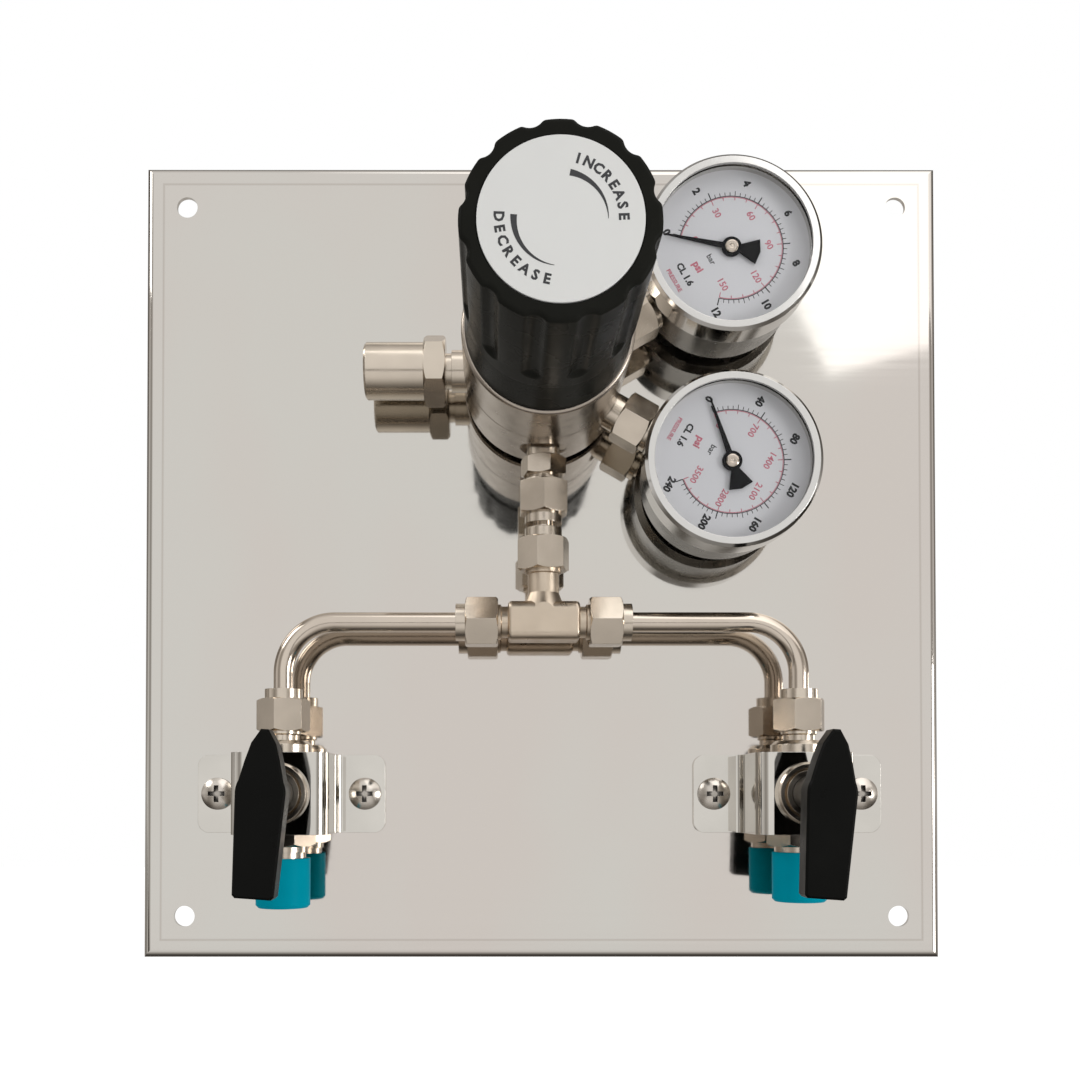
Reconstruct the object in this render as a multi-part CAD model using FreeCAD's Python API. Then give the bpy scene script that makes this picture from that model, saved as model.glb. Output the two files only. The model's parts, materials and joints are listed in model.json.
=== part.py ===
import FreeCAD, Part
import math
import os

# Wall-mounted gas manifold: a folded panel that carries a pressure regulator with two gauges, a tee, and two
# ball valves on bent tubes. All sizes are in millimetres. X runs right and Z up, and the front faces -Y.
# The origin is the middle of the panel's front face. A height is a distance forwards from that face.

# Panel: one sheet with its four edges folded back
panel_width = 250.0
panel_height = 250.0
panel_sheet = 1.5
panel_flange = 15.0
panel_bend = 2.5
corner_slit = 0.5
wall_hole_inset = 13.0
wall_hole_diameter = 6.5

# Clearances between pieces, measured on the radius or along the axis
thread_gap = 0.02
running_gap = 0.05
moving_gap = 0.4
slip_gap = 0.25

# Two places closer than this are one
same_place = 0.001

# Machine screws
screw_radius = 2.5
screw_head_radius = 5.0
screw_head_height = 3.0
screw_dome_radius = 7.5
cross_slot_length = 5.2
cross_slot_width = 1.4
cross_slot_depth = 1.8
screw_tip_past_nut = 2.0
nut_flats = 8.0
nut_thickness = 4.0
regulator_screw_spacing = 26.0
regulator_screw_depth = 8.0

# Regulator body, with ports round it and its valve in the middle
regulator_up = 54.0
port_height = 16.0
body_radius = 24.0
body_height = 28.0
body_edge = 0.5
base_radius = 19.0
base_height = 4.0
spigot_radius = 19.4
spigot_length = 4.6
chamber_radius = 15.0
chamber_depth = 4.0
port_radius = 4.3
port_depth = 8.0
port_spot_radius = 7.2
passage_radius = 1.2
passage_drop = 3.0
valve_well_radius = 4.6
valve_well_floor = 3.0
seat_radius = 6.0
seat_thickness = 3.0
seat_underside = 19.5
orifice_radius = 1.7
poppet_pin_radius = 1.2
poppet_head_radius = 3.4
poppet_head_length = 3.5
poppet_tail_radius = 1.4
poppet_tail_length = 4.5
poppet_spring_radius = 2.6
poppet_spring_width = 0.8
poppet_spring_height = 0.6
poppet_spring_coils = 6

# Diaphragm, spring and bonnet
diaphragm_thickness = 0.3
diaphragm_plate_radius = 13.0
diaphragm_plate_thickness = 2.2
spring_pilot_radius = 8.0
spring_pilot_length = 2.0
spring_mean_radius = 10.6
spring_wire_width = 3.0
spring_wire_height = 2.2
spring_coils = 7
bonnet_radius = 24.0
bonnet_skirt_top = 49.9
bonnet_edge = 1.0
bonnet_tube_radius = 20.2
bonnet_bore = 16.0
bonnet_top = 95.0
bonnet_roof = 6.0
adjuster_neck_radius = 5.0
adjuster_thread_radius = 4.0
adjuster_collar_radius = 8.0
adjuster_collar_thickness = 3.0
adjuster_tail_length = 47.0
adjuster_in_knob = 9.0
button_thickness = 3.0
button_boss_radius = 8.0
button_boss_length = 10.0

# Knob: a moulded cup with twelve shallow flutes, a plain skirt, a hub and ribs
knob_bottom = 50.7
knob_top = 110.6
knob_radius = 23.0
knob_skirt_radius = 23.0
knob_skirt_waist_radius = 22.4
knob_skirt_height = 17.3
knob_edge = 1.2
knob_ceiling = 4.6
knob_hub_radius = 8.0
knob_ribs = 6
knob_rib_thickness = 1.8
knob_rib_height = 7.0
knob_rib_root = 0.5
flute_count = 12
flute_first_angle = 16.0
flute_radius = 3.6
flute_depth = 1.1
flute_foot = 76.0
flute_corner = 1.6
disc_radius = 18.85
disc_thickness = 0.8
disc_proud = 0.2

# Inlet adapter, on the left
adapter_neck_radius = 6.15
adapter_neck_end = 27.6
adapter_groove_radius = 5.2
adapter_hex_start = 29.4
adapter_hex_flats = 19.0
adapter_hex_length = 6.5
adapter_barrel_radius = 8.4
adapter_barrel_length = 17.8
inlet_thread_radius = 5.7
inlet_thread_depth = 16.0
inlet_mouth = 0.6
filter_radius = 5.0
filter_thickness = 2.5
adapter_passage = 2.0

# Tubes and compression fittings
tube_radius = 3.0
tube_wall = 1.0
tube_bend_radius = 15.3
tube_insertion = 5.0
fitting_thread_radius = 5.3
fitting_thread_length = 6.0
fitting_thread_lead = 0.3
fitting_thread_shown = 1.1
fitting_neck_radius = 4.7
fitting_passage = 1.8
tube_nut_flats = 14.0
tube_nut_hex = 9.8
tube_nut_collar = 2.9
tube_nut_collar_radius = 5.6
tube_nut_relief = 0.8
tube_nut_cone_gap = 0.4
tube_nut_cone_tip = 0.5
ferrule_length = 3.0
ferrule_radius = 4.9
ferrule_land = 1.0
ferrule_tip_wall = 0.35
nut_turn_angle = {"outlet": 30.0, "tee_top": 15.0, "left_valve": 20.0, "right_valve": 8.0}

# Outlet connector and union tee, below the regulator
connector_neck_radius = 5.0
connector_flats = 12.0
connector_hex_start = 26.3
connector_hex_end = 31.9
connector_turn_angle = 15.0
connector_nut_face = 33.7
tee_drop = 76.0
tee_body_width = 21.5
tee_body_height = 11.6
tee_body_depth = 12.1
tee_edge = 2.4
tee_end_edge = 1.2
tee_shoulder_radius = 6.8
tee_shoulder_top = 8.6
tee_side_nut_face = 13.7
tee_top_nut_face = 15.4

# Ball valves, one at the foot of each bent tube
valve_inset = {"left": 46.8, "right": 48.2}
valve_up = -73.6
valve_body_width = 20.4
valve_body_length = 23.0
valve_body_back = 6.5
valve_body_front = 24.5
valve_body_edge = 1.5
valve_boss_radius = 8.4
valve_boss_top = 15.8
valve_boss_edge = 1.2
valve_nut_face = 18.6
valve_neck_radius = 6.8
valve_neck_front = 29.2
ball_radius = 6.5
ball_bore = 2.2
ball_slot_width = 2.0
ball_slot_depth = 2.0
ball_well_radius = 7.3
ball_well_top = 7.8
seat_ring_gap = 0.3
seat_ring_start = 4.55
stem_radius = 2.6
stem_collar_radius = 3.6
stem_collar_back = 23.6
stem_collar_thickness = 1.6
stem_top = 44.0
stem_tongue_length = 4.4
end_thread_radius = 8.2
end_thread_length = 3.9
end_hex_flats = 17.0
end_hex_length = 4.3
end_collar_radius = 7.4
end_collar_length = 1.7
nipple_radius = 6.8
nipple_length = 10.5
nipple_edge = 0.8
outlet_socket_radius = 4.5
outlet_socket_depth = 6.0
panel_nut_radius = 9.2
panel_nut_thickness = 2.8
panel_nut_edge = 0.6

# Bracket that straps each valve to the panel
bracket_sheet = 1.5
bracket_width = 24.3
bracket_half_span = 29.3
bracket_leg_out = 14.5
bracket_foot_bend = 1.5
bracket_top_bend = 3.2
bracket_corner = 3.5
bracket_hole_offset = 23.0
screw_hole_gap = 0.25

# Lever handle
handle_lean_angle = 4.0
handle_front = 52.0
handle_thickness = 7.0
handle_tip = 17.4
handle_tip_half_width = 1.0
handle_shoulder_up = 13.5
handle_shoulder_half_width = 3.4
handle_waist_up = 8.4
handle_waist_half_width = 4.9
handle_hub_radius = 6.9
handle_hub_foot_radius = 5.2
handle_tail = 28.8
handle_tail_half_width = 5.7
handle_tail_round = 0.8
handle_edge = 0.6

# Dust caps over the two outlets
cap_radius = 8.1
cap_length = 14.8
cap_wall = 1.1
cap_round = 0.8
cap_lift = {"left": 1.8, "right": 0.0}

# Gauges, upper and lower
gauge_distance = 62.5
gauge_spread_angle = 30.0
gauge_case_radius = 24.0
gauge_case_back = 5.5
gauge_case_wall = 1.2
gauge_case_front = 29.3
gauge_case_round = 2.0
gauge_dial_thickness = 0.5
bezel_wall = 1.68
bezel_rebate = 1.1
bezel_back = 24.5
bezel_front = 34.0
bezel_lip = 1.0
bezel_round = 0.9
window_thickness = 1.2
gauge_neck_radius = 5.5
gauge_neck_end = 26.9
gauge_hex_flats = 14.0
gauge_collar_length = 1.95
gauge_collar_radius = 6.0
gauge_shank_radius = 4.5
gauge_socket_length = 8.0
gauge_socket_width = 9.0
gauge_socket_depth = 9.0
gauge_arm_thickness = 2.0
gauge_arm_width = 5.0
gauge_arm_inset = 1.0
gauge_pivot_radius = 3.2
bourdon_inset = 9.0
bourdon_width = 6.0
bourdon_thickness = 1.8
bourdon_wall = 0.4
bourdon_sweep_angle = 250.0
pointer_shaft_radius = 1.0
pointer_shaft_length = 9.0
pointer_hub_radius = 2.9
pointer_cap_radius = 1.95
pointer_length = 19.7
pointer_root_half_width = 0.9
pointer_tip_half_width = 0.15
pointer_tail = 8.5
pointer_tail_angle = 50.0
pointer_thickness = 0.5
pointer_lift = 0.5
pointer_zero_angle = 45.0
pointer_stop_angle = 4.0

# Directions
RIGHT = FreeCAD.Vector(1, 0, 0)
UP = FreeCAD.Vector(0, 0, 1)
OUT = FreeCAD.Vector(0, -1, 0)

# Worked out from the sizes above
spigot_top = body_height + spigot_length
diaphragm_top = spigot_top + diaphragm_thickness
chamber_floor = spigot_top - chamber_depth
port_face = math.sqrt(body_radius**2 - port_spot_radius**2)
port_floor = port_face - port_depth
bonnet_ceiling = bonnet_top - bonnet_roof
collar_back = bonnet_ceiling - moving_gap - adjuster_collar_thickness
button_front = collar_back - moving_gap
button_back = button_front - button_boss_length - button_thickness
plate_front = diaphragm_top + diaphragm_plate_thickness
skirt_top = knob_bottom + knob_skirt_height
screw_hole = screw_radius + screw_hole_gap
tee_up = regulator_up - tee_drop
bracket_front = valve_body_front + bracket_sheet
half_body = valve_body_length / 2
valve_x = {"left": valve_inset["left"] - panel_width / 2, "right": panel_width / 2 - valve_inset["right"]}
window_back = bezel_front - bezel_lip - window_thickness
dial_front = gauge_case_front + gauge_dial_thickness
gauge_angle = {"upper": gauge_spread_angle, "lower": -gauge_spread_angle}
bezel_grip = gauge_case_radius + thread_gap
bezel_radius = bezel_grip + bezel_wall
bezel_sight_radius = gauge_case_radius - bezel_rebate
bourdon_radius = gauge_case_radius - bourdon_inset


def shape_at(shape, origin, along=OUT, across=RIGHT):
    """Copy of a shape drawn about its own Z axis, moved so that Z runs along and X runs across."""
    side = along.cross(across)
    place = FreeCAD.Placement(origin, FreeCAD.Rotation(across, side, along, "ZXY"))
    moved = shape.copy()
    moved.Placement = place.multiply(shape.Placement)
    return moved


def spot(x=0.0, height=0.0, up=0.0):
    """Point at X, at a height in front of the panel, and at Z."""
    return FreeCAD.Vector(x, -height, up)


def radial(degrees):
    """Direction in the panel's plane, counted from right towards up."""
    turn = math.radians(degrees)
    return FreeCAD.Vector(math.cos(turn), 0, math.sin(turn))


def polygon(points):
    """Face with straight sides through the points."""
    corners = [FreeCAD.Vector(*point) for point in points]
    return Part.Face(Part.makePolygon(corners + corners[:1]))


def turned(profile, sweep=360.0):
    """Solid turned about Z from corners given as (radius, position)."""
    return polygon([(radius, 0, place) for radius, place in profile]).revolve(
        FreeCAD.Vector(0, 0, 0), FreeCAD.Vector(0, 0, 1), sweep)


def rod(radius, low, high):
    """Cylinder about Z between two positions."""
    return Part.makeCylinder(radius, high - low, FreeCAD.Vector(0, 0, low))


def ring(outer, inner, low, high):
    """Plain ring about Z between two positions."""
    return rod(outer, low, high).cut(rod(inner, low, high))


def block(width, depth, low, high):
    """Block centred on Z between two positions."""
    return Part.makeBox(width, depth, high - low, FreeCAD.Vector(-width / 2, -depth / 2, low))


def joined(*shapes):
    """One solid fused from shapes that touch."""
    return shapes[0].multiFuse(list(shapes[1:])).removeSplitter()


def hexagon(flats, low, high):
    """Hexagonal bar about Z with turned corners at both ends."""
    corner = flats / math.sqrt(3)
    turn = (corner - flats / 2) * math.tan(math.radians(30))
    sides = [(corner * math.cos(math.radians(60 * i)), corner * math.sin(math.radians(60 * i)), low)
             for i in range(6)]
    bar = polygon(sides).extrude(FreeCAD.Vector(0, 0, high - low))
    envelope = turned([(0, low), (flats / 2, low), (corner, low + turn),
                       (corner, high - turn), (flats / 2, high), (0, high)])
    return bar.common(envelope)


def coil(radius, width, height, low, high, turns):
    """Compression spring of rectangular wire about Z, between two flat seats."""
    pitch = (high - low - height) / turns
    helix = Part.makeHelix(pitch, pitch * turns, radius)
    helix.translate(FreeCAD.Vector(0, 0, low + height / 2))
    inner = radius - width / 2
    outer = radius + width / 2
    section = polygon([(inner, 0, low), (outer, 0, low), (outer, 0, low + height), (inner, 0, low + height)])
    return Part.Wire(helix.Edges).makePipeShell([section.OuterWire], True, True)


def edges_along(shape, way):
    """Straight edges of a shape that run along a direction."""
    straight = [edge for edge in shape.Edges if edge.Curve.TypeId == "Part::GeomLine"]
    return [edge for edge in straight if abs(edge.Curve.Direction.dot(way)) > 1 - same_place]


def rim_at(shape, radius, place):
    """Circular edges of a shape about Z at one radius and one position."""
    round_edges = [edge for edge in shape.Edges if edge.Curve.TypeId == "Part::GeomCircle"]
    return [edge for edge in round_edges if abs(edge.Curve.Radius - radius) < same_place
            and abs(edge.Curve.Center.z - place) < same_place]


def bent_path(points, radius):
    """Wire of straight runs with tangent arcs of one radius at the inner points."""
    edges = []
    start = points[0]
    for before, corner, after in zip(points, points[1:], points[2:]):
        into = (corner - before).normalize()
        away = (after - corner).normalize()
        reach = radius * math.tan(into.getAngle(away) / 2)
        arc_start = corner - into * reach
        arc_end = corner + away * reach
        inward = (away - into).normalize()
        middle = corner + inward * (math.hypot(radius, reach) - radius)
        edges.append(Part.makeLine(start, arc_start))
        edges.append(Part.Arc(arc_start, middle, arc_end).toShape())
        start = arc_end
    edges.append(Part.makeLine(start, points[-1]))
    return Part.Wire(edges)


def pan_screw(length):
    """Pan-head screw with a cross recess: head towards +Z, its underside at 0."""
    dome = Part.makeSphere(screw_dome_radius)
    dome.translate(FreeCAD.Vector(0, 0, screw_head_height - screw_dome_radius))
    head = rod(screw_head_radius, 0, screw_head_height).common(dome)
    low = screw_head_height - cross_slot_depth
    slots = [block(cross_slot_length, cross_slot_width, low, screw_head_height),
             block(cross_slot_width, cross_slot_length, low, screw_head_height)]
    return head.fuse(rod(screw_radius, -length, 0)).cut(slots[0]).cut(slots[1]).removeSplitter()


def group(solids):
    """Separate solids that share one node."""
    return Part.makeCompound(solids)


# Panel

def panel_holes():
    """Every hole through the sheet, as (X, Z, radius)."""
    across = panel_width / 2 - wall_hole_inset
    upwards = panel_height / 2 - wall_hole_inset
    holes = [(x, z, wall_hole_diameter / 2) for x in (-across, across) for z in (-upwards, upwards)]
    holes += [(x, valve_up, screw_hole) for x in bracket_screw_places()]
    holes += [(x, regulator_up, screw_hole) for x in regulator_screw_places()]
    return holes


def bracket_screw_places():
    """X of the four screws that hold the brackets."""
    return [x + side * bracket_hole_offset for x in valve_x.values() for side in (-1, 1)]


def regulator_screw_places():
    """X of the two screws that hold the regulator from behind."""
    return [-regulator_screw_spacing / 2, regulator_screw_spacing / 2]


def folded_tray(inset, front, bend):
    """Block the size of the tray, less an inset all round, with its front edges rounded."""
    width = panel_width - 2 * inset
    height = panel_height - 2 * inset
    tray = Part.makeBox(width, panel_flange - front, height,
                        FreeCAD.Vector(-width / 2, front, -height / 2))
    edges = [edge for edge in tray.Edges if edge.BoundBox.YMax < front + same_place]
    return tray.makeFillet(bend, edges)


def make_panel():
    """Sheet with four flanges folded back and slits where they meet."""
    panel = folded_tray(0, 0, panel_bend).cut(
        folded_tray(panel_sheet, panel_sheet, panel_bend - panel_sheet))
    top = panel_height / 2 - panel_sheet
    for x in (-panel_width / 2, panel_width / 2 - panel_sheet):
        for z in (top - corner_slit, -top):
            panel = panel.cut(Part.makeBox(panel_sheet, panel_flange - panel_bend, corner_slit,
                                           FreeCAD.Vector(x, panel_bend, z)))
    for x, z, radius in panel_holes():
        drill = Part.makeCylinder(radius, panel_sheet, FreeCAD.Vector(x, 0, z), FreeCAD.Vector(0, 1, 0))
        panel = panel.cut(drill)
    return panel


def make_bracket_screws():
    """Four cross-head screws through the bracket feet and the panel."""
    length = bracket_sheet + panel_sheet + nut_thickness + screw_tip_past_nut
    return group([shape_at(pan_screw(length), spot(x, bracket_sheet, valve_up))
                  for x in bracket_screw_places()])


def make_bracket_nuts():
    """Nuts behind the panel."""
    nut = hexagon(nut_flats, 0, nut_thickness).cut(rod(screw_radius + thread_gap, 0, nut_thickness))
    return group([shape_at(nut, spot(x, -panel_sheet, valve_up), -OUT) for x in bracket_screw_places()])


def make_regulator_screws():
    """Two screws from behind the panel into the regulator."""
    screw = pan_screw(panel_sheet + regulator_screw_depth - screw_hole_gap)
    return group([shape_at(screw, spot(x, -panel_sheet, regulator_up), -OUT)
                  for x in regulator_screw_places()])


# Regulator

def regulator(shape):
    """Put a piece of the regulator on its axis."""
    return shape_at(shape, spot(0, 0, regulator_up))


def make_regulator_body():
    """Turned body with four threaded ports, the valve well and the chamber under the diaphragm."""
    body = turned([
        (0, 0), (base_radius, 0), (base_radius, base_height), (body_radius - body_edge, base_height),
        (body_radius, base_height + body_edge), (body_radius, body_height - body_edge),
        (body_radius - body_edge, body_height), (spigot_radius, body_height), (spigot_radius, spigot_top),
        (chamber_radius, spigot_top), (chamber_radius, chamber_floor),
        (seat_radius, chamber_floor), (seat_radius, seat_underside),
        (valve_well_radius, seat_underside), (valve_well_radius, valve_well_floor), (0, valve_well_floor),
    ])
    centre = FreeCAD.Vector(0, 0, port_height)
    for angle in (180, 270, gauge_angle["upper"], gauge_angle["lower"]):
        way = FreeCAD.Vector(math.cos(math.radians(angle)), math.sin(math.radians(angle)), 0)
        body = body.cut(Part.makeCylinder(port_radius, body_radius, centre + way * port_floor, way))
        body = body.cut(Part.makeCylinder(port_spot_radius, body_radius, centre + way * port_face, way))
        if angle in (180, gauge_angle["lower"]):
            low = centre - FreeCAD.Vector(0, 0, passage_drop)
            body = body.cut(Part.makeCylinder(passage_radius, port_floor, low, way))
        else:
            rise = centre + way * (port_floor + passage_radius)
            body = body.cut(Part.makeCylinder(passage_radius, chamber_floor - port_height, rise))
    for x in regulator_screw_places():
        body = body.cut(Part.makeCylinder(screw_radius + thread_gap, regulator_screw_depth,
                                          FreeCAD.Vector(x, 0, 0)))
    return regulator(body)


def make_bonnet():
    """Spring housing: a wide skirt screwed over the body, and the tube that the knob covers."""
    bonnet = turned([
        (spigot_radius + thread_gap, body_height), (bonnet_radius, body_height),
        (bonnet_radius, bonnet_skirt_top), (bonnet_tube_radius, bonnet_skirt_top),
        (bonnet_tube_radius, bonnet_top), (adjuster_neck_radius + running_gap, bonnet_top),
        (adjuster_neck_radius + running_gap, bonnet_ceiling), (bonnet_bore, bonnet_ceiling),
        (bonnet_bore, diaphragm_top), (spigot_radius + thread_gap, diaphragm_top),
    ])
    return regulator(bonnet.makeFillet(bonnet_edge, rim_at(bonnet, bonnet_radius, bonnet_skirt_top)))


def make_diaphragm():
    """Thin disc clamped between the body and the bonnet."""
    return regulator(rod(spigot_radius, spigot_top, diaphragm_top))


def make_diaphragm_plate():
    """Plate between the diaphragm and the range spring, with a pilot for the spring."""
    return regulator(turned([
        (0, diaphragm_top), (diaphragm_plate_radius, diaphragm_top),
        (diaphragm_plate_radius, plate_front), (spring_pilot_radius, plate_front),
        (spring_pilot_radius, plate_front + spring_pilot_length), (0, plate_front + spring_pilot_length),
    ]))


def make_range_spring():
    """Coil spring that sets the outlet pressure."""
    return regulator(coil(spring_mean_radius, spring_wire_width, spring_wire_height,
                          plate_front, button_back, spring_coils))


def make_spring_button():
    """Nut with a flange, which travels along the adjusting screw and loads the spring."""
    bore = adjuster_thread_radius + running_gap
    flange = bonnet_bore - moving_gap
    return regulator(turned([
        (bore, button_back), (flange, button_back), (flange, button_back + button_thickness),
        (button_boss_radius, button_back + button_thickness), (button_boss_radius, button_front),
        (bore, button_front),
    ]))


def make_adjusting_screw():
    """Screw held under the bonnet's roof by its collar, with its neck pressed into the knob."""
    tip = collar_back - adjuster_tail_length
    end = bonnet_top + adjuster_in_knob
    return regulator(turned([
        (0, tip), (adjuster_thread_radius, tip), (adjuster_thread_radius, collar_back),
        (adjuster_collar_radius, collar_back),
        (adjuster_collar_radius, collar_back + adjuster_collar_thickness),
        (adjuster_neck_radius, collar_back + adjuster_collar_thickness), (adjuster_neck_radius, end),
        (0, end),
    ]))


def make_valve_seat():
    """Soft seat with the orifice that the poppet closes."""
    return regulator(ring(seat_radius, orifice_radius, seat_underside, seat_underside + seat_thickness))


def make_poppet():
    """Poppet with a pin that reaches the diaphragm and a tail that guides its spring."""
    head_low = seat_underside - poppet_head_length
    tail_low = head_low - poppet_tail_length
    return regulator(turned([
        (0, tail_low), (poppet_tail_radius, tail_low), (poppet_tail_radius, head_low),
        (poppet_head_radius, head_low), (poppet_head_radius, seat_underside),
        (poppet_pin_radius, seat_underside), (poppet_pin_radius, spigot_top), (0, spigot_top),
    ]))


def make_poppet_spring():
    """Light spring that closes the poppet."""
    head_low = seat_underside - poppet_head_length
    return regulator(coil(poppet_spring_radius, poppet_spring_width, poppet_spring_height,
                          valve_well_floor, head_low, poppet_spring_coils))


def knob_grip():
    """Outside of the knob above its skirt: a bar with rounded flutes that run out at a ball end."""
    grip = rod(knob_radius, skirt_top, knob_top)
    centre = knob_radius - flute_depth + flute_radius
    for i in range(flute_count):
        turn = math.radians(flute_first_angle + 360 / flute_count * i)
        foot = FreeCAD.Vector(centre * math.cos(turn), centre * math.sin(turn), flute_foot)
        flute = Part.makeCylinder(flute_radius, knob_top - flute_foot, foot)
        grip = grip.cut(flute.fuse(Part.makeSphere(flute_radius, foot)).removeSplitter())
    grip = grip.makeFillet(flute_corner, edges_along(grip, FreeCAD.Vector(0, 0, 1)))
    rim = [edge for edge in grip.Edges if edge.BoundBox.ZMin > knob_top - same_place]
    return grip.makeFillet(knob_edge, rim)


def make_knob():
    """Moulded cup: fluted outside, with a hub, ribs and a bore that clears the bonnet tube inside."""
    bore = bonnet_tube_radius + moving_gap
    ceiling = knob_top - knob_ceiling
    skirt = turned([(0, knob_bottom), (knob_skirt_radius, knob_bottom),
                    (knob_skirt_waist_radius, skirt_top), (0, skirt_top)])
    recess = rod(disc_radius + slip_gap, knob_top - disc_thickness, knob_top)
    knob = skirt.fuse(knob_grip()).cut(rod(bore, knob_bottom, ceiling)).cut(recess)
    hub_foot = bonnet_top + moving_gap
    knob = knob.fuse(ring(knob_hub_radius, adjuster_neck_radius, hub_foot, ceiling))
    rib_foot = ceiling - knob_rib_height
    rib_start = knob_hub_radius - knob_rib_root
    rib_length = bore + knob_rib_root - rib_start
    for i in range(knob_ribs):
        rib = Part.makeBox(rib_length, knob_rib_thickness, knob_rib_height,
                           FreeCAD.Vector(rib_start, -knob_rib_thickness / 2, rib_foot))
        rib.rotate(FreeCAD.Vector(0, 0, 0), FreeCAD.Vector(0, 0, 1), 360 / knob_ribs * i)
        knob = knob.fuse(rib)
    return regulator(knob.removeSplitter())


def make_knob_disc():
    """Flat disc let into the knob's face."""
    low = knob_top - disc_thickness
    return regulator(rod(disc_radius, low, knob_top + disc_proud))


# Inlet

def make_inlet_adapter():
    """Adapter with a hexagon and a barrel that is threaded inside for the supply line."""
    hex_end = adapter_hex_start + adapter_hex_length
    barrel_end = hex_end + adapter_barrel_length
    thread_floor = barrel_end - inlet_thread_depth
    outside = turned([
        (0, port_floor + slip_gap), (port_radius - thread_gap, port_floor + slip_gap),
        (port_radius - thread_gap, port_face), (adapter_neck_radius, port_face),
        (adapter_neck_radius, adapter_neck_end), (adapter_groove_radius, adapter_neck_end),
        (adapter_groove_radius, adapter_hex_start), (adapter_barrel_radius, adapter_hex_start),
        (adapter_barrel_radius, barrel_end - inlet_mouth),
        (adapter_barrel_radius - inlet_mouth, barrel_end), (0, barrel_end),
    ])
    inside = turned([
        (0, 0), (adapter_passage, 0), (adapter_passage, thread_floor - filter_thickness),
        (filter_radius, thread_floor - filter_thickness), (filter_radius, thread_floor),
        (inlet_thread_radius, thread_floor), (inlet_thread_radius, barrel_end - inlet_mouth),
        (inlet_thread_radius + inlet_mouth, barrel_end), (0, barrel_end),
    ])
    adapter = joined(outside, hexagon(adapter_hex_flats, adapter_hex_start, hex_end)).cut(inside)
    return shape_at(adapter, spot(0, port_height, regulator_up), -RIGHT, UP)


def make_inlet_filter():
    """Sintered disc at the bottom of the inlet thread."""
    thread_floor = adapter_hex_start + adapter_hex_length + adapter_barrel_length - inlet_thread_depth
    disc = rod(filter_radius, thread_floor - filter_thickness, thread_floor)
    return shape_at(disc, spot(0, port_height, regulator_up), -RIGHT, UP)


# Tube fittings, drawn along Z from the face of the nut

def male_end(body_end, nut_face):
    """Neck and thread that a tube nut screws on, outside shape only."""
    thread_start = nut_face - fitting_thread_shown
    end = nut_face + fitting_thread_length
    return turned([
        (0, body_end), (fitting_neck_radius, body_end), (fitting_neck_radius, thread_start),
        (fitting_thread_radius, thread_start + fitting_thread_lead), (fitting_thread_radius, end), (0, end),
    ])


def male_bore(nut_face, passage_start):
    """Tube socket and passage to cut out of a male end."""
    end = nut_face + fitting_thread_length
    socket = rod(tube_radius + running_gap, end - tube_insertion, end)
    return socket.fuse(rod(fitting_passage, passage_start, end))


def tube_nut():
    """Compression nut: a hexagon with a collar, threaded inside up to its cone."""
    end = tube_nut_hex + tube_nut_collar
    outside = joined(hexagon(tube_nut_flats, 0, tube_nut_hex),
                     rod(tube_nut_collar_radius, tube_nut_hex, end))
    thread = fitting_thread_radius + thread_gap
    thread_end = fitting_thread_length + tube_nut_relief
    cone_end = fitting_thread_length + ferrule_length + tube_nut_cone_gap
    inside = turned([
        (0, 0), (thread, 0), (thread, thread_end), (tube_radius + tube_nut_cone_tip, cone_end),
        (tube_radius + running_gap, cone_end), (tube_radius + running_gap, end), (0, end),
    ])
    return outside.cut(inside)


def ferrule():
    """Ferrule squeezed between the fitting and the nut's cone."""
    low = fitting_thread_length + thread_gap
    high = low + ferrule_length
    bore = tube_radius + thread_gap
    return turned([
        (bore, low), (ferrule_radius, low), (ferrule_radius, low + ferrule_land),
        (tube_radius + ferrule_tip_wall, high), (bore, high),
    ])


def fitting_places():
    """Where each tube nut sits: the middle of its fitting, its direction and its face's distance."""
    places = {
        "outlet": (spot(0, port_height, regulator_up), -UP, connector_nut_face),
        "tee_top": (spot(0, port_height, tee_up), UP, tee_top_nut_face),
        "tee_left": (spot(0, port_height, tee_up), -RIGHT, tee_side_nut_face),
        "tee_right": (spot(0, port_height, tee_up), RIGHT, tee_side_nut_face),
    }
    for side, x in valve_x.items():
        places[side + "_valve"] = (spot(x, port_height, valve_up), UP, valve_nut_face)
    return places


def at_fitting(shape, name):
    """Put a nut or a ferrule on its fitting, turned as far as it was tightened."""
    middle, way, face = fitting_places()[name]
    across = OUT if abs(way.z) < 0.5 else RIGHT
    turned_shape = shape.copy()
    turned_shape.rotate(FreeCAD.Vector(0, 0, 0), FreeCAD.Vector(0, 0, 1), nut_turn_angle.get(name, 0.0))
    return shape_at(turned_shape, middle + way * face, way, across)


def make_ferrules():
    """The six ferrules."""
    return group([at_fitting(ferrule(), name) for name in fitting_places()])


def tube_end(name):
    """Point where a tube bottoms in a fitting."""
    middle, way, face = fitting_places()[name]
    return middle + way * (face + fitting_thread_length - tube_insertion)


def make_tube(points):
    """Tube with its inner bore, bent at the inner points of its path."""
    path = bent_path(points, tube_bend_radius)
    way = points[1] - points[0]
    outer = Part.Wire(Part.makeCircle(tube_radius, points[0], way))
    inner = Part.Wire(Part.makeCircle(tube_radius - tube_wall, points[0], way))
    solids = [Part.Wire(path.Edges).makePipeShell([section], True, False) for section in (outer, inner)]
    return solids[0].cut(solids[1])


def make_straight_tube():
    """Short tube between the outlet connector and the tee."""
    start = tube_end("outlet")
    length = (tube_end("tee_top") - start).Length
    tube = ring(tube_radius, tube_radius - tube_wall, 0, length)
    return shape_at(tube, start, -UP)


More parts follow.
